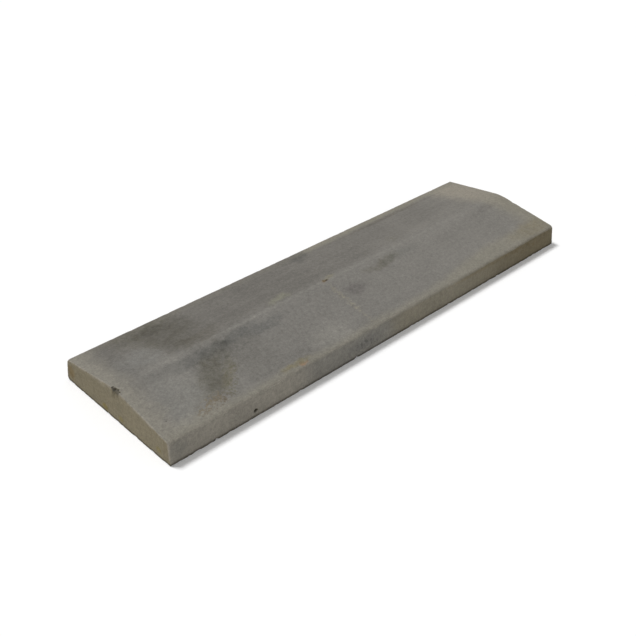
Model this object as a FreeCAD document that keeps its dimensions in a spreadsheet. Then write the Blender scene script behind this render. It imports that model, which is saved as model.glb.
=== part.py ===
import FreeCAD, Part
import os

import Sketcher

# Twice-weathered (saddleback) wall coping stone, cast in concrete as one piece.
#
# Millimetres, +X along the wall, +Y across it, +Z up, origin at the middle of the bed face.
# The stone is cast face down, so its sides and ends lean in and the bed is its largest outline.
# Two slopes shed the rain from a rounded crest to the long sides.

DRIVING_SIZES = {
    "bed_length": 1000,  # along the wall, on the bed face
    "bed_width": 290,  # across the wall, on the bed face
    "edge_height": 42,  # from the bed to where a slope would meet a long side, were it sharp
    "crest_height": 62,  # from the bed to the top of the rounded crest
    "crest_radius": 100,  # rounding that joins the two slopes
    "side_lean": 5,  # how far each long side leans in over the edge height
    "end_lean": 2,  # how far each end leans in over the edge height
    "long_arris_radius": 6,  # the two upper edges along the stone
    "end_arris_radius": 3,  # the upright corners and the edges over the top of each end
    "bed_arris_radius": 1,  # the edges round the bed
}

NODE = "coping_stone"
HORIZONTAL_AXIS, VERTICAL_AXIS = -1, -2  # a sketch's own axes
ROOT_POINT = (HORIZONTAL_AXIS, 1)  # a sketch's own origin
START, END, CENTRE = 1, 2, 3  # which point of a line or an arc a constraint takes
SAME = 0.01  # mm, for telling edges apart by where they lie
CLEAR_OF_CREST = 1.5  # how many crest heights tall the wedges are that cut the ends' lean


def make_sizes(doc):
    """The sheet that every feature is bound to, with one name and one plain number a row."""
    sheet = doc.addObject("Spreadsheet::Sheet", "Sizes")
    for row, (alias, value) in enumerate(DRIVING_SIZES.items(), start=1):
        sheet.set(f"A{row}", alias)
        sheet.set(f"B{row}", str(value))
        sheet.setAlias(f"B{row}", alias)
    doc.recompute()
    return sheet


def add_sketch(body, name, plane):
    """A sketch on one of the body's own planes, with helpers that add and drive constraints."""
    sketch = body.newObject("Sketcher::SketchObject", name)
    support = next(f for f in body.Origin.OriginFeatures if f.Role == plane)
    sketch.AttachmentSupport = (support, "")
    sketch.MapMode = "FlatFace"

    def constrain(*terms):
        return sketch.addConstraint(Sketcher.Constraint(*terms))

    def drive(name, value, expression, *terms):
        index = constrain(*terms, value)
        sketch.renameConstraint(index, name)
        sketch.setExpression(f"Constraints.{name}", expression)

    return sketch, constrain, drive


def point(across, up):
    return FreeCAD.Vector(across, up, 0)


def draw_section(body, sizes):
    """The section across the wall: bed, two leaning sides, two slopes and the arc of the crest."""
    sketch, constrain, drive = add_sketch(body, "Section", "YZ_Plane")
    half_bed = sizes.bed_width / 2
    half_top = half_bed - sizes.side_lean
    slope = (sizes.crest_height - sizes.edge_height) / half_top
    half_arc = slope * sizes.crest_radius
    arc_end_height = sizes.crest_height - slope * half_arc / 2

    bed_left, bed_right = point(-half_bed, 0), point(half_bed, 0)
    top_left, top_right = point(-half_top, sizes.edge_height), point(half_top, sizes.edge_height)
    arc_left, arc_right = point(-half_arc, arc_end_height), point(half_arc, arc_end_height)
    crest_top = point(0, sizes.crest_height)
    outline = [
        Part.LineSegment(bed_left, bed_right),
        Part.LineSegment(bed_right, top_right),
        Part.LineSegment(top_right, arc_right),
        Part.Arc(arc_right, crest_top, arc_left),
        Part.LineSegment(arc_left, top_left),
        Part.LineSegment(top_left, bed_left),
    ]
    bed, right_side, right_slope, crest, left_slope, left_side = sketch.addGeometry(outline, False)
    top_of_crest = sketch.addGeometry(Part.Point(crest_top), True)

    constrain("Horizontal", bed)
    constrain("Symmetric", bed, START, bed, END, *ROOT_POINT)
    constrain("Coincident", bed, END, right_side, START)
    constrain("Coincident", right_side, END, right_slope, START)
    constrain("Tangent", right_slope, END, crest, START)
    constrain("Tangent", crest, END, left_slope, START)
    constrain("Coincident", left_slope, END, left_side, START)
    constrain("Coincident", left_side, END, bed, START)
    constrain("Symmetric", left_slope, END, right_slope, START, VERTICAL_AXIS)
    constrain("PointOnObject", crest, CENTRE, VERTICAL_AXIS)
    constrain("PointOnObject", top_of_crest, START, VERTICAL_AXIS)
    constrain("PointOnObject", top_of_crest, START, crest)
    drive(
        "bed_width", sizes.bed_width, "Sizes.bed_width",
        "DistanceX", bed, START, bed, END,
    )
    drive(
        "side_lean", sizes.side_lean, "Sizes.side_lean",
        "DistanceX", right_side, END, right_side, START,
    )
    drive(
        "edge_height", sizes.edge_height, "Sizes.edge_height",
        "DistanceY", right_side, START, right_side, END,
    )
    drive(
        "crest_height", sizes.crest_height, "Sizes.crest_height",
        "DistanceY", *ROOT_POINT, top_of_crest, START,
    )
    drive("crest_radius", sizes.crest_radius, "Sizes.crest_radius", "Radius", crest)
    return sketch


def draw_end_wedges(body, sizes):
    """What the lean takes off each end: a thin triangle standing on the end edge of the bed."""
    sketch, constrain, drive = add_sketch(body, "EndWedges", "XZ_Plane")
    half_length = sizes.bed_length / 2
    height = CLEAR_OF_CREST * sizes.crest_height
    run = sizes.end_lean * height / sizes.edge_height

    def triangle(side):
        foot = point(side * half_length, 0)
        inner = point(side * (half_length - run), height)
        outer = point(side * (half_length + run), height)
        return [
            Part.LineSegment(foot, inner),
            Part.LineSegment(inner, outer),
            Part.LineSegment(outer, foot),
        ]

    right = sketch.addGeometry(triangle(1), False)
    left = sketch.addGeometry(triangle(-1), False)
    for lean, top, outer in (right, left):
        constrain("Coincident", lean, END, top, START)
        constrain("Coincident", top, END, outer, START)
        constrain("Coincident", outer, END, lean, START)
    lean, top, outer = right
    constrain("Horizontal", top)
    constrain("Equal", lean, outer)
    for corner, mirrored in zip(right, left):
        constrain("Symmetric", mirrored, START, corner, START, VERTICAL_AXIS)
    constrain("PointOnObject", lean, START, HORIZONTAL_AXIS)
    drive(
        "bed_half_length", half_length, "Sizes.bed_length / 2",
        "DistanceX", *ROOT_POINT, lean, START,
    )
    drive(
        "wedge_height", height, f"{CLEAR_OF_CREST} * Sizes.crest_height",
        "DistanceY", lean, START, lean, END,
    )
    drive(
        "wedge_run", run,
        f"Sizes.end_lean * {CLEAR_OF_CREST} * Sizes.crest_height / Sizes.edge_height",
        "DistanceX", lean, END, lean, START,
    )
    return sketch


def extrude_section(body, section):
    """The section carried along the wall, half each way from the middle."""
    pad = body.newObject("PartDesign::Pad", "Length")
    pad.Profile = section
    pad.SideType = "Symmetric"
    pad.setExpression("Length", "Sizes.bed_length")
    return pad


def lean_ends(body, wedges):
    """The two ends cut back so that they lean in from their edges on the bed."""
    pocket = body.newObject("PartDesign::Pocket", "EndLean")
    pocket.Profile = wedges
    pocket.SideType = "Symmetric"
    pocket.Type = "ThroughAll"
    return pocket


def edges_where(shape, wanted):
    """Names of the edges whose two end points satisfy wanted(one, other)."""
    return [
        f"Edge{number}"
        for number, edge in enumerate(shape.Edges, start=1)
        if wanted(edge.firstVertex().Point, edge.lastVertex().Point)
    ]


def round_edges(body, base, name, alias, wanted):
    fillet = body.newObject("PartDesign::Fillet", name)
    fillet.Base = (base, edges_where(base.Shape, wanted))
    fillet.setExpression("Radius", f"Sizes.{alias}")
    return fillet


def round_long_arrises(body, base, sizes):
    """The upper edges along the stone, where each slope turns down into its side."""

    def wanted(one, other):
        runs_along = one.x * other.x < 0
        at_edge_height = abs(one.z - sizes.edge_height) < SAME
        return runs_along and at_edge_height

    return round_edges(body, base, "LongArrises", "long_arris_radius", wanted)


def round_end_arrises(body, base, sizes):
    """All round each end but for the bed: its two upright corners and its top edges."""

    def wanted(one, other):
        same_end = one.x * other.x > (sizes.bed_length / 4) ** 2
        above_bed = max(one.z, other.z) > SAME
        return same_end and above_bed

    return round_edges(body, base, "EndArrises", "end_arris_radius", wanted)


def round_bed_arris(body, base):
    """The slight rounding where the bed meets the sides and ends."""

    def wanted(one, other):
        return max(one.z, other.z) < SAME

    return round_edges(body, base, "BedArris", "bed_arris_radius", wanted)


def make_coping_stone(doc, sizes):
    body = doc.addObject("PartDesign::Body", "CopingStone")
    body.Label = NODE
    extrude_section(body, draw_section(body, sizes))
    doc.recompute()
    leaning = lean_ends(body, draw_end_wedges(body, sizes))
    doc.recompute()
    long_rounded = round_long_arrises(body, leaning, sizes)
    doc.recompute()
    ends_rounded = round_end_arrises(body, long_rounded, sizes)
    doc.recompute()
    round_bed_arris(body, ends_rounded)
    doc.recompute()
    return body


def check(doc, bodies):
    """Stops the build if a feature failed or a body isn't one valid solid."""
    for item in doc.Objects:
        if {"Invalid", "Error"} & set(item.State):
            raise RuntimeError(f"{item.Name} failed: {item.State}")
    for body in bodies:
        if body.Shape.isNull() or not body.Shape.isValid() or len(body.Shape.Solids) != 1:
            raise RuntimeError(f"{body.Label} is not one valid solid")


def main():
    doc = FreeCAD.newDocument("WallCopingStone")
    sizes = make_sizes(doc)
    bodies = [make_coping_stone(doc, sizes)]
    check(doc, bodies)
    os.makedirs("parts", exist_ok=True)
    for body in bodies:
        body.Shape.exportStep(f"parts/{body.Label}.step")
        box = body.Shape.BoundBox
        print(
            f"{body.Label}: {box.XLength:.1f} x {box.YLength:.1f} x {box.ZLength:.1f} mm,",
            f"{body.Shape.Volume / 1e6:.3f} litres, {len(body.Shape.Faces)} faces",
        )


main()
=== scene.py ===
import math

import bmesh
import bpy
from mathutils import Matrix, Vector, noise


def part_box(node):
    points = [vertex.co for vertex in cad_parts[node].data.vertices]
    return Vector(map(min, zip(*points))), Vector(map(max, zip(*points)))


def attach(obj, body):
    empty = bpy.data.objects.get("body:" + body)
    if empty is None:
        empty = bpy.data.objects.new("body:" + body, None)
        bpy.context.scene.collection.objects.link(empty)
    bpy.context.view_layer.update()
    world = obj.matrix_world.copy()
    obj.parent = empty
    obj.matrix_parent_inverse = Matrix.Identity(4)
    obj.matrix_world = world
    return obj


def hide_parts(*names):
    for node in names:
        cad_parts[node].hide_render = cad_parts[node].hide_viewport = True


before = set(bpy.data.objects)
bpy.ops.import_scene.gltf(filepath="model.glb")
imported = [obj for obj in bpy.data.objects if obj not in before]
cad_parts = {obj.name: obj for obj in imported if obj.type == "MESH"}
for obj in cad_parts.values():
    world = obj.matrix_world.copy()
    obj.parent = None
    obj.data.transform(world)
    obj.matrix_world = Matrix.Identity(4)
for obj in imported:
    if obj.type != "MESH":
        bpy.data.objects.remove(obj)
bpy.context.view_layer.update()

# The coping stone ---------------------------------------------------------------------------
# One block of dense concrete, poured face down into a mould and tamped, so the slopes, sides and
# ends have the mould's skin and the bed is the struck-off top of the pour. Every arris is a
# little rounded and rubbed, and one end has lost a chip off the crest.

low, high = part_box("coping_stone")
half_length, half_width = high.x, high.y
side_lean, end_lean = 0.005, 0.002  # how far sides and ends lean in over the edge height
edge_height = 0.042  # where a slope would meet a long side, unrounded
half_top = half_width - side_lean
crest_radius = 0.100
fall = (high.z - edge_height) / half_top
ridge_height = high.z + crest_radius * fall**2 / 2  # where the slopes would meet, unrounded
front_rounding, rear_rounding, end_rounding, bed_rounding = 0.0052, 0.0028, 0.0018, 0.0012
same_height = 0.001  # heights closer than this count as the same

stone = bmesh.new()
section = [
    (-half_width, 0),
    (-half_top, edge_height),
    (0, ridge_height),
    (half_top, edge_height),
    (half_width, 0),
]
near_end = stone.faces.new([stone.verts.new((-half_length, y, z)) for y, z in section])
far_end = bmesh.ops.extrude_face_region(stone, geom=[near_end])["geom"]
far_corners = [item for item in far_end if isinstance(item, bmesh.types.BMVert)]
bmesh.ops.translate(stone, verts=far_corners, vec=(2 * half_length, 0, 0))
for corner in stone.verts:
    corner.co.x -= math.copysign(end_lean * corner.co.z / edge_height, corner.co.x)
bmesh.ops.recalc_face_normals(stone, faces=stone.faces)


def round_over(wanted, offset, segments):
    """Bevels the edges whose two end points satisfy wanted(one, other)."""
    edges = [edge for edge in stone.edges if wanted(*(vert.co for vert in edge.verts))]
    bmesh.ops.bevel(
        stone, geom=edges, offset=offset, offset_type="OFFSET", segments=segments, profile=0.5,
        affect="EDGES", material=-1,
    )


def runs_along(one, other):
    return abs(one.x - other.x) > half_length


def tops_a_side(one, other):
    return runs_along(one, other) and abs(one.z - edge_height) < same_height


def is_ridge(one, other):
    return runs_along(one, other) and one.z > ridge_height - same_height


round_over(is_ridge, fall * crest_radius, 8)
round_over(lambda one, other: tops_a_side(one, other) and one.y < 0, front_rounding, 5)
round_over(lambda one, other: tops_a_side(one, other) and one.y > 0, rear_rounding, 3)
round_over(lambda a, b: a.x * b.x > 0 and max(a.z, b.z) > same_height, end_rounding, 3)
round_over(lambda a, b: max(a.z, b.z) < same_height, bed_rounding, 2)

# The block is cut into small quads, so that its surface can take relief.
grain_step = 0.0034  # about how long a quad is


def slice_across(axis, reach_low, reach_high):
    """Cuts the stone every grain_step across an axis."""
    direction = Vector([axis == "x", axis == "y", axis == "z"])
    cuts = round((reach_high - reach_low) / grain_step)
    for cut in range(1, cuts):
        place = direction * (reach_low + (reach_high - reach_low) * cut / cuts)
        bmesh.ops.bisect_plane(
            stone, geom=stone.verts[:] + stone.edges[:] + stone.faces[:], dist=1e-5,
            plane_co=place, plane_no=direction,
        )


slice_across("y", -half_width, half_width)
slice_across("z", 0, edge_height)
long_edges = [edge for edge in stone.edges if runs_along(*(vert.co for vert in edge.verts))]
bmesh.ops.subdivide_edges(
    stone, edges=long_edges, cuts=round(2 * half_length / grain_step), use_grid_fill=True
)


def refine(place, radius, cuts):
    """Finer faces round a place that gets a small sharp feature."""
    edges = [edge for edge in stone.edges if (edge.verts[0].co - place).length < radius]
    bmesh.ops.subdivide_edges(stone, edges=edges, cuts=cuts, use_grid_fill=True)


crest_chip = Vector((-half_length + 0.002, -0.006, high.z))
air_hole = Vector((-half_length + 0.171, -half_width + 0.0015, 0.0125))
refine(crest_chip, 0.026, 2)
refine(air_hole, 0.008, 4)

worn = stone.verts.layers.float.new("worn")  # 1 on an arris, 0 a few millimetres away
broken = stone.verts.layers.float.new("broken")  # 1 in a hole or where a piece has come off


def from_arris(place):
    """How far a point on the surface lies from the nearest arris."""
    lean = end_lean / edge_height
    side = (half_width - abs(place.y)) - place.z * side_lean / edge_height
    end = (half_length - abs(place.x)) - place.z * lean
    slope = ridge_height - abs(place.y) * fall - place.z
    return sorted((place.z, side, end, slope))[1]


def rough(place, size):
    """Smooth random values of about -1 to 1 whose lumps are about `size` across."""
    return noise.noise(place / size)


stone.normal_update()
moves = {}
for vert in stone.verts:
    place = vert.co.copy()
    arris = from_arris(place)
    near_arris = max(0, 1 - arris / 0.005)
    vert[worn] = near_arris
    uneven = 0.00012 * (1 + rough(place, 0.06)) + 0.00007 * (1 + rough(place, 0.011))
    at_bed = max(0, 1 - place.z / 0.004)
    nibble = max(0, rough(place + Vector((3, 1, 2)), 0.009) - 0.1) * near_arris
    moves[vert] = -vert.normal * (uneven + nibble * (0.0009 + 0.0016 * at_bed))
for vert, move in moves.items():
    vert.co += move


def scoop(centre, radii, ragged=0.12):
    """A chip: what stands inside an ellipsoid is pushed back to its ragged surface."""
    for vert in stone.verts:
        out = Vector((vert.co - centre)[i] / radii[i] for i in range(3))
        reach = 1 + ragged * rough(vert.co, 0.003)
        if 0 < out.length < reach:
            scaled = out * (reach / out.length)
            vert.co = centre + Vector(scaled[i] * radii[i] for i in range(3))
            vert[broken] = min(1, 6 * (reach - out.length))


def sink_hole(place, inward, radii, depth):
    """An air hole: a round pit pushed straight in."""
    for vert in stone.verts:
        out = Vector((vert.co - place)[i] / radii[i] for i in range(3)).length
        if out < 1:
            vert.co += Vector(inward) * depth * math.sqrt(1 - out**4)
            vert[broken] = 1.3


def knock_off(corner, outward, depth):
    """A worn corner: what stands beyond a plane set back from the corner is pressed to it."""
    outward = Vector(outward).normalized()
    for vert in stone.verts:
        beyond = (vert.co - corner).dot(outward) + depth
        if 0 < beyond < 2 * depth:
            vert.co -= outward * beyond * 0.9


scoop(crest_chip + Vector((-0.002, 0.004, 0.004)), (0.0100, 0.0140, 0.0125), 0.25)
scoop(crest_chip + Vector((-0.004, -0.010, 0.003)), (0.0080, 0.0120, 0.0065), 0.25)
for y_nick, size in ((-0.079, 0.0026), (-0.123, 0.0028), (0.052, 0.0020)):
    top = ridge_height - abs(y_nick) * fall
    scoop(Vector((-half_length + 0.0015, y_nick, top)), (size, 1.3 * size, 0.8 * size))
scoop(Vector((half_length - 0.0015, -0.037, ridge_height - 0.037 * fall)), (0.004, 0.006, 0.004))
for foot_nick in (
    Vector((-half_length, 0.133, 0)), Vector((-half_length, -0.098, 0)),
    Vector((-half_length, 0.021, 0)), Vector((-half_length + 0.090, -half_width, 0)),
    Vector((-half_length + 0.402, -half_width, 0)), Vector((-half_length + 0.655, -half_width, 0)),
):
    scoop(foot_nick, (0.0042, 0.0042, 0.0030), 0.5)
rear_top = Vector((-half_length + end_lean, half_top, edge_height))
rear_foot = Vector((-half_length, half_width, 0))
knock_off(rear_top, (-0.45, 0.6, 0.5), 0.0026)
knock_off(rear_foot, (-0.5, 0.75, -0.6), 0.0048)
for x_corner, y_corner in ((-1, -1), (1, -1), (1, 1)):
    foot = Vector((x_corner * half_length, y_corner * half_width, 0))
    knock_off(foot, (0.6 * x_corner, 0.6 * y_corner, -0.5), 0.0016)
sink_hole(air_hole, (0, 1, 0), (0.0042, 0.004, 0.0031), 0.006)

bmesh.ops.recalc_face_normals(stone, faces=stone.faces)
for face in stone.faces:
    face.smooth = True
stone_mesh = bpy.data.meshes.new("cast_coping")
stone.to_mesh(stone_mesh)
stone.free()
cast_coping = bpy.data.objects.new("cast_coping", stone_mesh)
bpy.context.scene.collection.objects.link(cast_coping)
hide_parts("coping_stone")
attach(cast_coping, "root")

# The stone's skin ---------------------------------------------------------------------------
# The mould left a close skin of cement paste and fine sand with a few pinholes in it. Rain and
# damp have since darkened it in patches and streaks, lime has bloomed along the crest and the
# margins, and a little rust and growth have settled by the arrises.


def put(tree, kind, *inputs, output=0, **settings):
    """Adds a node with its inputs in order, each a value, a socket or None, and gives an output."""
    node = tree.nodes.new(kind)
    for name, value in settings.items():
        setattr(node, name, value)
    for socket, value in zip(node.inputs, inputs):
        if isinstance(value, bpy.types.NodeSocket):
            tree.links.new(value, socket)
        elif value is not None:
            socket.default_value = value
    return node.outputs[output]


def split(tree, vector):
    """The three parts of a vector."""
    return put(tree, "ShaderNodeSeparateXYZ", vector).node.outputs


def math_node(tree, operation, *values):
    return put(tree, "ShaderNodeMath", *values, operation=operation)


def lumps(tree, spot, closeness, detail, roughness=0.6):
    """Cloudy random values about a half: the higher the closeness, the smaller the lumps."""
    return put(tree, "ShaderNodeTexNoise", spot, None, closeness, detail, roughness)


def ramp(tree, value, start, stop, low_value=0.0, high_value=1.0):
    """Runs smoothly from low_value at start to high_value at stop."""
    return put(
        tree, "ShaderNodeMapRange", value, start, stop, low_value, high_value,
        interpolation_type="SMOOTHSTEP",
    )


def mix(tree, share, base, over, blend="MIX"):
    """Lays one colour over another, plain or multiplied into it."""
    share_input, base_input, over_input, colour_output = 0, 6, 7, 2
    node = tree.nodes.new("ShaderNodeMix")
    node.data_type, node.blend_type = "RGBA", blend
    for index, value in ((share_input, share), (base_input, base), (over_input, over)):
        if isinstance(value, bpy.types.NodeSocket):
            tree.links.new(value, node.inputs[index])
        else:
            node.inputs[index].default_value = value if index == share_input else (*value, 1)
    return node.outputs[colour_output]


def new_group(name, inputs, outputs):
    """An empty node group with its sockets, and its input and output nodes."""
    group = bpy.data.node_groups.new(name, "ShaderNodeTree")
    for label, kind in inputs:
        group.interface.new_socket(label, in_out="INPUT", socket_type=f"NodeSocket{kind}")
    for label, kind in outputs:
        group.interface.new_socket(label, in_out="OUTPUT", socket_type=f"NodeSocket{kind}")
    return group, group.nodes.new("NodeGroupInput"), group.nodes.new("NodeGroupOutput")


def build_stain_group():
    """A soft ragged patch: 1 inside, fading out towards the rim of an ellipse lying at a turn."""
    group, given, result = new_group(
        "stain",
        [("Spot", "Vector"), ("Centre", "Vector"), ("Turn", "Float"), ("Reach", "Vector"),
         ("Fade", "Float"), ("Ragged", "Float")],
        [("Mask", "Float")],
    )
    spot, centre, turn, reach, fade, ragged = (given.outputs[i] for i in range(6))
    away = put(group, "ShaderNodeVectorMath", spot, centre, operation="SUBTRACT")
    turned = put(
        group, "ShaderNodeVectorRotate", away, (0, 0, 0), (0, 0, 1),
        math_node(group, "MULTIPLY", turn, -1.0), rotation_type="AXIS_ANGLE",
    )
    scaled = put(group, "ShaderNodeVectorMath", turned, reach, operation="DIVIDE")
    distance = put(group, "ShaderNodeVectorMath", scaled, output=1, operation="LENGTH")
    rim = math_node(group, "ADD", distance, ragged)
    inner = math_node(group, "SUBTRACT", 1.0, fade)
    group.links.new(ramp(group, rim, 1.0, inner), result.inputs["Mask"])
    return group


def build_grain_group():
    """Sand and cement grain: a shade about 1 that is speckled, and its height."""
    group, given, result = new_group(
        "grain",
        [("Spot", "Vector"), ("Speckle", "Float"), ("Cloud", "Float")],
        [("Shade", "Float"), ("Height", "Float")],
    )
    spot, speckle, cloud = (given.outputs[i] for i in range(3))
    fine = lumps(group, spot, 380.0, 3.0)
    coarse = lumps(group, spot, 160.0, 2.0)
    broad = lumps(group, spot, 14.0, 4.0)
    both = math_node(
        group, "ADD", math_node(group, "MULTIPLY", fine, 0.55),
        math_node(group, "MULTIPLY", coarse, 0.45),
    )
    speckled = math_node(group, "MULTIPLY", math_node(group, "SUBTRACT", both, 0.5), speckle)
    clouded = math_node(group, "MULTIPLY", math_node(group, "SUBTRACT", broad, 0.5), cloud)
    shade = math_node(group, "ADD", math_node(group, "ADD", speckled, clouded), 1.0)
    group.links.new(shade, result.inputs["Shade"])
    group.links.new(both, result.inputs["Height"])
    return group


def build_air_hole_group():
    """Pinholes that air left against the mould: few, small and of mixed size."""
    group, given, result = new_group(
        "air_holes", [("Spot", "Vector"), ("Closeness", "Float"), ("Share", "Float")],
        [("Hole", "Float")],
    )
    spot, closeness, share = (given.outputs[i] for i in range(3))
    cells = group.nodes.new("ShaderNodeTexVoronoi")
    group.links.new(spot, cells.inputs["Vector"])
    group.links.new(closeness, cells.inputs["Scale"])
    pick = put(group, "ShaderNodeSeparateColor", cells.outputs["Color"])
    size = math_node(group, "MULTIPLY", math_node(group, "SUBTRACT", share, pick), 0.7)
    hole = math_node(group, "GREATER_THAN", size, cells.outputs["Distance"])
    group.links.new(hole, result.inputs["Hole"])
    return group


stain_group = build_stain_group()
grain_group = build_grain_group()
air_hole_group = build_air_hole_group()


def use_group(tree, group, *inputs):
    """Places a node group with its inputs in order, and gives its outputs."""
    node = tree.nodes.new("ShaderNodeGroup")
    node.node_tree = group
    for socket, value in zip(node.inputs, inputs):
        if isinstance(value, bpy.types.NodeSocket):
            tree.links.new(value, socket)
        else:
            socket.default_value = value
    return node.outputs


skin = bpy.data.materials.new("weathered_concrete")
skin.use_nodes = True
tree = skin.node_tree
tree.nodes.clear()
coordinates = tree.nodes.new("ShaderNodeTexCoord")
spot = coordinates.outputs["Object"]
x_place, y_place, z_place = split(tree, spot)
facing_x, _, facing_z = split(tree, coordinates.outputs["Normal"])
on_plan = put(tree, "ShaderNodeCombineXYZ", x_place, y_place, 0.0)
on_side = put(tree, "ShaderNodeCombineXYZ", x_place, z_place, 0.0)
on_end = put(tree, "ShaderNodeCombineXYZ", y_place, z_place, 0.0)

raggedness = lumps(tree, spot, 45.0, 5.0, 0.65)
about_zero = math_node(tree, "SUBTRACT", raggedness, 0.5)
ragged = math_node(tree, "MULTIPLY", about_zero, 0.9)  # eats into the rims of stains
wander = math_node(tree, "MULTIPLY", about_zero, 0.05)  # how far an edge strays, in metres
x_loose = math_node(tree, "ADD", x_place, wander)
y_loose = math_node(tree, "ADD", y_place, math_node(tree, "MULTIPLY", wander, 0.3))
patchy = ramp(tree, lumps(tree, spot, 85.0, 3.0), 0.30, 0.66, 0.6, 1.12)
flecks = ramp(tree, lumps(tree, spot, 210.0, 3.0), 0.50, 0.58)


def drift(place, scale, reach):
    """Shifts a place about at random, so that an outline laid on it wanders."""
    wobble = put(tree, "ShaderNodeTexNoise", spot, None, scale, 3.0, 0.55, output=1)
    centred = put(tree, "ShaderNodeVectorMath", wobble, (0.5, 0.5, 0.5), operation="SUBTRACT")
    return put(
        tree, "ShaderNodeVectorMath", centred, (reach, reach, 0), place, operation="MULTIPLY_ADD"
    )


thin_drift = drift(on_plan, 90.0, 0.012)
on_plan = drift(thin_drift, 16.0, 0.045)


def stain(
    base, on, centre, reach, colour, strength, turn=0, fade=0.7, blend="MULTIPLY", breakup=patchy
):
    """Lays one stain over a colour: centre and half reach in metres, turn in degrees.

    The breakup thins it in places, so that it isn't one even patch.
    """
    mask = use_group(
        tree, stain_group, on, (*centre, 0), math.radians(turn), (*reach, 1), fade, ragged
    )[0]
    share = math_node(tree, "MULTIPLY", mask, math_node(tree, "MULTIPLY", breakup, strength))
    return mix(tree, share, base, colour, blend)


def streaks(turn, along, across, low_shade, high_shade):
    """Faint streaks that lie at a turn: a shade that varies fast across them, slowly along."""
    turned = put(
        tree, "ShaderNodeMapping", spot, None, (0, 0, math.radians(turn)), (along, across, 8.0)
    )
    return ramp(tree, lumps(tree, turned, 1.0, 4.0), 0.3, 0.7, low_shade, high_shade)


def shaded(colour, shade, share=1.0, tree=tree):
    """A colour made lighter or darker by a shade about 1."""
    return mix(
        tree, share, colour, put(tree, "ShaderNodeCombineColor", shade, shade, shade), "MULTIPLY"
    )


rear_slope_shaded_grey = (0.140, 0.132, 0.118)
front_grey = (0.176, 0.168, 0.152)
far_grey = (0.200, 0.190, 0.170)
cream = (0.212, 0.198, 0.160)
pink_cream = (0.244, 0.223, 0.184)
lime = (0.212, 0.199, 0.164)
bloom = (0.186, 0.181, 0.166)
pale_crest = (0.208, 0.199, 0.178)
rubbed_arris = (0.285, 0.260, 0.218)
near_cream = (0.216, 0.203, 0.172)
chip_shade_and_dirt = (0.052, 0.046, 0.032)
pinhole_shade = (0.06, 0.055, 0.045)

# These are laid by multiplying, so they are what is left of the colour under them.
damp_olive = (0.62, 0.61, 0.55)
wet_grey = (0.70, 0.71, 0.72)
# Painted shade along the rear arris, laid by multiplying.
rear_arris_shade = (0.78, 0.76, 0.72)
# Painted contact shadow along the foot, laid by multiplying.
foot_contact_shade = (0.40, 0.39, 0.36)

# The rear slope takes a darker grey than the front: painted shade, which keeps it dark under the lamp
# behind the stone.
slopes = mix(tree, ramp(tree, y_place, -0.006, 0.030), front_grey, rear_slope_shaded_grey)
slopes = mix(tree, ramp(tree, x_place, -0.15, 0.42, 0.0, 0.55), slopes, far_grey)
streak_share = ramp(tree, y_place, -0.02, 0.03, 0.4, 1.0)
slopes = shaded(slopes, streaks(0, 5.0, 110.0, 0.955, 1.045), streak_share)
slopes = shaded(slopes, streaks(32, 12.0, 70.0, 0.975, 1.025))

# Old damp has left soft dark patches, most of them on the near third and along the crest.
for centre, reach, turn, colour, strength in (
    ((-0.405, 0.000), (0.048, 0.230), 0, (1.16, 1.16, 1.15), 1.0),
    ((-0.345, 0.085), (0.092, 0.090), -25, damp_olive, 0.70),
    ((-0.375, 0.125), (0.085, 0.045), 0, damp_olive, 0.55),
    ((-0.357, -0.066), (0.108, 0.033), 40, damp_olive, 1.0),
    ((-0.275, -0.060), (0.060, 0.095), 0, (0.84, 0.84, 0.83), 0.8),
    ((-0.375, -0.020), (0.105, 0.024), 0, wet_grey, 0.80),
    ((-0.255, -0.020), (0.125, 0.021), 0, (0.75, 0.77, 0.79), 0.85),
    ((-0.310, 0.024), (0.060, 0.030), 0, (0.78, 0.76, 0.70), 0.6),
    ((0.012, 0.125), (0.024, 0.034), 0, wet_grey, 0.90),
    ((-0.010, 0.130), (0.035, 0.018), 0, wet_grey, 0.55),
    ((0.000, -0.042), (0.036, 0.015), 0, (0.77, 0.75, 0.77), 0.9),
    ((0.100, -0.020), (0.062, 0.017), 0, (0.74, 0.73, 0.68), 0.9),
    ((0.150, -0.022), (0.075, 0.014), 0, (0.86, 0.88, 0.88), 0.7),
    ((0.430, -0.012), (0.035, 0.014), 0, (0.78, 0.77, 0.78), 0.8),
    ((-0.395, -0.118), (0.042, 0.018), 15, (0.74, 0.66, 0.54), 1.0),
    ((-0.333, -0.080), (0.014, 0.055), -46, (0.86, 0.83, 0.70), 0.8),
    ((0.250, 0.070), (0.16, 0.060), 0, (0.94, 0.94, 0.94), 0.8),
):
    slopes = stain(slopes, on_plan, centre, reach, colour, strength, turn)

# Lime bloom, olive growth and rust lie on top, in their own colours.
for centre, reach, turn, colour, strength in (
    ((-0.425, 0.045), (0.060, 0.050), -15, bloom, 0.85),
    ((-0.420, -0.085), (0.060, 0.075), 0, (0.192, 0.186, 0.168), 0.90),
    ((-0.132, 0.019), (0.032, 0.015), 0, (0.195, 0.189, 0.148), 0.90),
    ((-0.430, -0.126), (0.090, 0.022), 0, (0.240, 0.228, 0.194), 0.75),
):
    slopes = stain(slopes, on_plan, centre, reach, colour, strength, turn, blend="MIX")
for centre, reach, turn, colour, strength in (
    ((-0.392, -0.118), (0.050, 0.024), 10, (0.105, 0.078, 0.048), 0.75),
    ((-0.400, -0.112), (0.045, 0.022), 20, (0.250, 0.220, 0.160), 0.35),
    ((-0.330, -0.078), (0.018, 0.060), -46, (0.120, 0.110, 0.072), 0.60),
    ((-0.340, -0.105), (0.040, 0.014), 45, (0.120, 0.115, 0.075), 0.50),
    ((0.185, 0.030), (0.02, 0.02), 0, (0.120, 0.115, 0.080), 0.45),
):
    slopes = stain(
        slopes, thin_drift, centre, reach, colour, strength, turn, blend="MIX", breakup=flecks
    )

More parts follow.
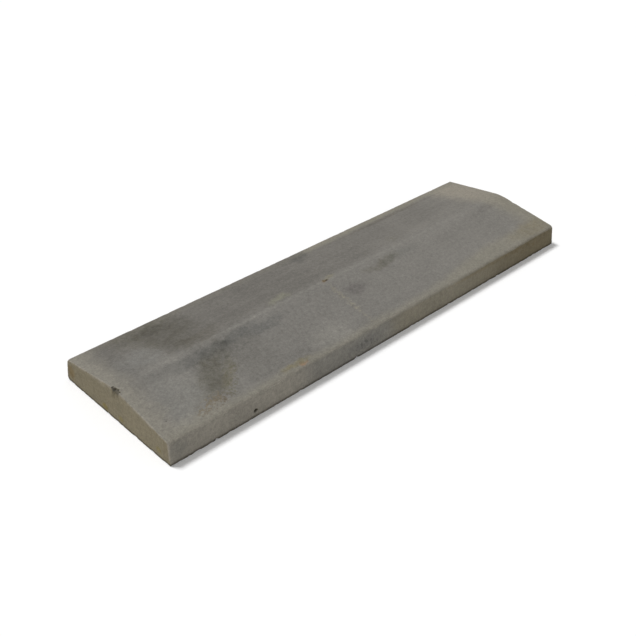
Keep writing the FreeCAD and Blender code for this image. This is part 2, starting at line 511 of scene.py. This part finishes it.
# Dry cream margins run round the slopes: narrow at the near end, wide at the far one.
near_margin = ramp(tree, x_loose, -half_length + 0.054, -half_length + 0.012)
slopes = mix(tree, near_margin, slopes, near_cream)
far_reach = ramp(tree, y_place, -0.10, 0.13, 0.050, 0.100)
far_margin = ramp(
    tree, math_node(tree, "ADD", x_loose, far_reach), half_length - 0.020, half_length + 0.045
)
far_cream = mix(tree, ramp(tree, y_place, -0.06, 0.06), cream, pink_cream)
slopes = mix(tree, far_margin, slopes, far_cream)
rear_margin = math_node(
    tree, "MULTIPLY", ramp(tree, y_loose, half_width - 0.030, half_width - 0.014),
    ramp(tree, x_loose, 0.0, 0.06, 0.25, 0.9),
)
slopes = mix(tree, rear_margin, slopes, cream)
slopes = stain(slopes, thin_drift, (0.250, 0.116), (0.22, 0.007), (0.82, 0.80, 0.77), 0.9)
front_margin_start = ramp(tree, x_place, 0.08, 0.34, -half_width + 0.020, -half_width + 0.046)
front_margin = math_node(
    tree, "MULTIPLY",
    ramp(tree, math_node(tree, "SUBTRACT", front_margin_start, y_loose), -0.008, 0.014),
    0.95,
)
slopes = mix(tree, front_margin, slopes, lime)
slopes = stain(slopes, thin_drift, (0.46, -0.118), (0.10, 0.030), (0.90, 0.86, 0.76), 0.9)

# A thin paler line runs along the crest, and one thin line of lime runs down from it to the front.
crest_line = use_group(
    tree, stain_group, thin_drift, (0, 0.0045, 0), 0.0, (0.6, 0.0068, 1), 0.8,
    math_node(tree, "MULTIPLY", ragged, 0.7),
)[0]
slopes = mix(tree, math_node(tree, "MULTIPLY", crest_line, 0.62), slopes, pale_crest)
for centre, reach, turn, colour, strength, breakup in (
    ((-0.0375, -0.060), (0.0090, 0.088), -2, (0.245, 0.225, 0.178), 0.9, flecks),
    ((-0.0375, -0.060), (0.0035, 0.085), -2, cream, 0.45, patchy),
    ((-0.031, 0.007), (0.011, 0.0045), 15, (0.125, 0.085, 0.045), 0.85, patchy),
    ((-0.015, 0.012), (0.020, 0.0070), 10, (0.215, 0.198, 0.135), 0.55, patchy),
    ((-0.028, 0.007), (0.0030, 0.0025), 0, (0.030, 0.022, 0.016), 0.90, 1.0),
    ((-0.203, 0.004), (0.0030, 0.0022), 0, (0.300, 0.285, 0.250), 0.70, 1.0),
    ((-0.215, -0.133), (0.012, 0.007), 0, (0.270, 0.165, 0.095), 0.90, patchy),
    ((-0.225, -0.127), (0.040, 0.009), 0, (0.190, 0.168, 0.105), 0.80, patchy),
    ((-0.125, -0.110), (0.065, 0.035), 0, (0.222, 0.212, 0.188), 0.70, patchy),
):
    slopes = stain(
        slopes, thin_drift, centre, reach, colour, strength, turn, blend="MIX", breakup=breakup
    )

# The long sides: greyer where damp has stood, browner towards the far end.
side_pale = (0.230, 0.213, 0.178)
side_blue = (0.186, 0.177, 0.154)
side_olive = (0.188, 0.171, 0.130)
side_brown = (0.128, 0.107, 0.066)
sides = mix(tree, ramp(tree, x_loose, -0.26, -0.18), side_pale, side_blue)
sides = mix(tree, ramp(tree, x_loose, -0.03, 0.03), sides, side_olive)
sides = mix(tree, ramp(tree, x_loose, 0.12, 0.46), sides, side_brown)
sides = shaded(sides, streaks(0, 14.0, 40.0, 0.93, 1.07))
for centre, reach, colour, strength, breakup in (
    ((-0.075, 0.022), (0.06, 0.016), (0.84, 0.85, 0.88), 0.8, patchy),
    ((-0.070, 0.018), (0.050, 0.018), (0.55, 0.55, 0.56), 0.7, flecks),
    ((0.29, 0.035), (0.15, 0.006), (0.92, 0.86, 0.74), 0.60, patchy),
    ((0.40, 0.030), (0.10, 0.014), (0.84, 0.76, 0.62), 0.7, flecks),
    ((-0.478, 0.026), (0.026, 0.022), (0.80, 0.82, 0.84), 0.8, patchy),
    ((-0.190, 0.012), (0.06, 0.010), (0.70, 0.70, 0.68), 0.4, flecks),
):
    sides = stain(sides, on_side, centre, reach, colour, strength, breakup=breakup)

# The ends: a tan skin of fine laitance, browner at the rear corner.
ends = mix(
    tree, ramp(tree, y_place, -0.10, 0.14), (0.207, 0.180, 0.121), (0.186, 0.161, 0.106)
)
for centre, reach, colour, strength in (
    ((0.128, 0.022), (0.014, 0.020), (0.84, 0.72, 0.54), 0.9),
    ((0.030, 0.010), (0.012, 0.008), (0.98, 0.92, 0.58), 1.0),
    ((-0.015, 0.012), (0.010, 0.008), (1.0, 0.96, 0.66), 0.9),
    ((-0.115, 0.014), (0.010, 0.009), (1.0, 0.96, 0.64), 0.9),
    ((-0.134, 0.020), (0.012, 0.030), (0.88, 0.86, 0.84), 0.8),
):
    ends = stain(ends, on_end, centre, reach, colour, strength)

# What faces up takes the slopes' colour, what faces along the wall the ends', the rest the sides'.
up_facing = ramp(tree, facing_z, 0.25, 0.90)
end_facing = ramp(tree, math_node(tree, "ABSOLUTE", facing_x), 0.5, 0.8)
colour = mix(tree, up_facing, sides, slopes)
colour = mix(tree, end_facing, colour, ends)
# Painted shade: a dark line along the rear arris, which turns away from the light.
rear_arris = ramp(tree, y_place, half_top - 0.0045, half_top - 0.0005)
rear_share = math_node(tree, "MULTIPLY", rear_arris, 0.7)
colour = mix(tree, rear_share, colour, rear_arris_shade, "MULTIPLY")

# Painted contact shadow: the sides and ends are darkened in a band just above the bed.
foot_height = math_node(tree, "ADD", z_place, math_node(tree, "MULTIPLY", wander, 0.06))
foot_line = ramp(tree, foot_height, 0.0068, 0.0022)
colour = mix(tree, foot_line, colour, foot_contact_shade, "MULTIPLY")


def stored(name):
    """What the mesh holds for each of its points under a name."""
    node = tree.nodes.new("ShaderNodeAttribute")
    node.attribute_name = name
    return node.outputs["Fac"]


worn_arris = math_node(
    tree, "MULTIPLY", ramp(tree, stored("worn"), 0.25, 0.80), ramp(tree, raggedness, 0.35, 0.6)
)
above_bed = ramp(tree, z_place, 0.004, 0.010)
rubbed = math_node(tree, "MULTIPLY", math_node(tree, "MULTIPLY", worn_arris, above_bed), 0.75)
colour = mix(tree, rubbed, colour, rubbed_arris)
# Chips, nicks and the air hole are painted very dark: painted shade in the hollows, with some dirt.
colour = mix(tree, math_node(tree, "MULTIPLY", stored("broken"), 0.78), colour, chip_shade_and_dirt)

speckle = ramp(tree, x_place, -0.1, 0.25, 1.30, 1.12)
shade, height = use_group(tree, grain_group, spot, speckle, 0.32)
colour = shaded(colour, shade)
pinholes = use_group(tree, air_hole_group, spot, 55.0, 0.12)[0]
# The pinholes are painted dark: painted shade inside them.
colour = mix(tree, math_node(tree, "MULTIPLY", pinholes, 0.55), colour, pinhole_shade)
relief = math_node(tree, "SUBTRACT", height, math_node(tree, "MULTIPLY", pinholes, 0.8))
bump = tree.nodes.new("ShaderNodeBump")
bump.inputs["Strength"].default_value = 0.55
bump.inputs["Distance"].default_value = 0.0006
tree.links.new(relief, bump.inputs["Height"])

surface = tree.nodes.new("ShaderNodeBsdfPrincipled")
tree.links.new(colour, surface.inputs["Base Color"])
tree.links.new(
    math_node(tree, "ADD", 0.84, math_node(tree, "MULTIPLY", height, 0.14)),
    surface.inputs["Roughness"],
)
surface.inputs["Specular IOR Level"].default_value = 0.25
tree.links.new(bump.outputs["Normal"], surface.inputs["Normal"])
final = tree.nodes.new("ShaderNodeOutputMaterial")
tree.links.new(surface.outputs["BSDF"], final.inputs["Surface"])
cast_coping.data.materials.append(skin)

# The bed --------------------------------------------------------------------------------------
# The bed was the open top of the mould, so it was struck off with a board and has no mould
# skin: it is coarser, with the sweep of the board, torn spots and bigger air holes in it.

struck = bpy.data.materials.new("struck_bed")
struck.use_nodes = True
bed_tree = struck.node_tree
bed_tree.nodes.clear()
bed_spot = bed_tree.nodes.new("ShaderNodeTexCoord").outputs["Object"]
sweep_place = put(bed_tree, "ShaderNodeMapping", bed_spot, None, (0, 0, 0.12), (90.0, 5.0, 1.0))
sweep = ramp(bed_tree, lumps(bed_tree, sweep_place, 1.0, 4.0), 0.3, 0.7)
torn = ramp(bed_tree, lumps(bed_tree, bed_spot, 38.0, 5.0, 0.65), 0.56, 0.66)
bed_shade, bed_height = use_group(bed_tree, grain_group, bed_spot, 1.8, 0.7)
bed_holes = use_group(bed_tree, air_hole_group, bed_spot, 42.0, 0.22)[0]
swept_dark, swept_pale = (0.150, 0.142, 0.120), (0.190, 0.180, 0.154)
torn_dark, rim_dark, bed_hole_shade = (0.112, 0.102, 0.080), (0.125, 0.115, 0.088), (0.05, 0.047, 0.04)
bed_colour = mix(bed_tree, sweep, swept_dark, swept_pale)
bed_colour = mix(bed_tree, math_node(bed_tree, "MULTIPLY", torn, 0.6), bed_colour, torn_dark)
bed_rim = use_group(
    bed_tree, stain_group, bed_spot, (0, 0, 0), 0.0, (0.545, 0.165, 1), 0.22,
    math_node(bed_tree, "MULTIPLY", torn, 0.1),
)[0]
bed_colour = mix(bed_tree, bed_rim, rim_dark, bed_colour)
bed_colour = shaded(bed_colour, bed_shade, tree=bed_tree)
# The bed's air holes are painted dark: painted shade inside them.
bed_colour = mix(bed_tree, math_node(bed_tree, "MULTIPLY", bed_holes, 0.7), bed_colour, bed_hole_shade)
bed_relief = math_node(
    bed_tree, "ADD", math_node(bed_tree, "MULTIPLY", bed_height, 1.4),
    math_node(
        bed_tree, "SUBTRACT", math_node(bed_tree, "MULTIPLY", sweep, 0.9),
        math_node(bed_tree, "ADD", bed_holes, torn),
    ),
)
bed_bump = bed_tree.nodes.new("ShaderNodeBump")
bed_bump.inputs["Strength"].default_value = 0.7
bed_bump.inputs["Distance"].default_value = 0.0008
bed_tree.links.new(bed_relief, bed_bump.inputs["Height"])
bed_surface = bed_tree.nodes.new("ShaderNodeBsdfPrincipled")
bed_surface.inputs["Roughness"].default_value = 0.95
bed_surface.inputs["Specular IOR Level"].default_value = 0.2
bed_tree.links.new(bed_colour, bed_surface.inputs["Base Color"])
bed_tree.links.new(bed_bump.outputs["Normal"], bed_surface.inputs["Normal"])
bed_final = bed_tree.nodes.new("ShaderNodeOutputMaterial")
bed_tree.links.new(bed_surface.outputs["BSDF"], bed_final.inputs["Surface"])
cast_coping.data.materials.append(struck)
struck_index, bed_relief_reach = 1, 0.0015
for polygon in cast_coping.data.polygons:
    if polygon.normal.z < -0.9 and polygon.center.z < bed_relief_reach:
        polygon.material_index = struck_index

# The studio floor, light and camera -----------------------------------------------------------
# The stone lies on a wide sheet of white paper. One soft lamp stands high behind it and throws
# the shadow to the front, and a wide weak one from the front left lifts the side and the near end.

floor_mesh = bmesh.new()
bmesh.ops.create_grid(floor_mesh, x_segments=1, y_segments=1, size=12)
floor_data = bpy.data.meshes.new("studio_floor")
floor_mesh.to_mesh(floor_data)
floor_mesh.free()
studio_floor = bpy.data.objects.new("studio_floor", floor_data)
bpy.context.scene.collection.objects.link(studio_floor)
paper = bpy.data.materials.new("studio_paper")
paper.use_nodes = True
paper_tree = paper.node_tree
paper_tree.nodes.clear()


def seen_directly(tree):
    """1 where the camera looks, straight on or by way of a gloss or glass, and 0 for other light."""
    rays = tree.nodes.new("ShaderNodeLightPath").outputs
    by_way = math_node(tree, "MAXIMUM", rays["Is Glossy Ray"], rays["Is Transmission Ray"])
    return math_node(tree, "MAXIMUM", rays["Is Camera Ray"], by_way)


white = (1, 1, 1, 1)
paper_glow, sky_share = 0.05, 0.30
seen = seen_directly(paper_tree)
paper_colour = mix(paper_tree, seen, (0.8, 0.8, 0.8), (0.95, 0.95, 0.95))
matt = put(paper_tree, "ShaderNodeBsdfDiffuse", paper_colour)
glow = put(
    paper_tree, "ShaderNodeEmission", white, math_node(paper_tree, "MULTIPLY", seen, paper_glow)
)
sum_shader = paper_tree.nodes.new("ShaderNodeAddShader")
paper_tree.links.new(matt, sum_shader.inputs[0])
paper_tree.links.new(glow, sum_shader.inputs[1])
paper_out = paper_tree.nodes.new("ShaderNodeOutputMaterial")
paper_tree.links.new(sum_shader.outputs[0], paper_out.inputs["Surface"])
studio_floor.data.materials.append(paper)

world = bpy.data.worlds.new("studio")
bpy.context.scene.world = world
world.use_nodes = True
world.node_tree.nodes.clear()
sky_strength = ramp(
    world.node_tree, seen_directly(world.node_tree), 0.0, 1.0, sky_share, 1.0
)
sky = put(world.node_tree, "ShaderNodeBackground", white, sky_strength)
sky_out = world.node_tree.nodes.new("ShaderNodeOutputWorld")
world.node_tree.links.new(sky, sky_out.inputs["Surface"])


def add_lamp(name, toward, share, softness, shadow):
    """A far soft lamp: share is how bright it makes a white face that is turned to it."""
    lamp_data = bpy.data.lights.new(name, "SUN")
    lamp_data.energy = share * math.pi
    lamp_data.angle = math.radians(softness)
    lamp_data.use_shadow = shadow
    lamp = bpy.data.objects.new(name, lamp_data)
    lamp.rotation_euler = Vector(toward).to_track_quat("Z", "Y").to_euler()
    bpy.context.scene.collection.objects.link(lamp)


add_lamp("key", (-0.16, 0.42, 0.89), 0.74, 15, True)
add_lamp("fill", (-0.52, -0.82, 0.24), 0.29, 60, False)

camera_data = bpy.data.cameras.new("camera")
camera_data.sensor_width = 36
camera_data.lens = 52.26
camera = bpy.data.objects.new("camera", camera_data)
camera.location = (-1.0570, -1.0125, 0.9818)
turn, tilt, roll = (math.radians(angle) for angle in (-44.774, 90 - 34.806, 1.534))
aim = Matrix.Rotation(turn, 3, "Z") @ Matrix.Rotation(tilt, 3, "X") @ Matrix.Rotation(roll, 3, "Z")
camera.rotation_euler = aim.to_euler()
bpy.context.scene.collection.objects.link(camera)
bpy.context.scene.camera = camera
bpy.context.scene.view_settings.view_transform = "Standard"
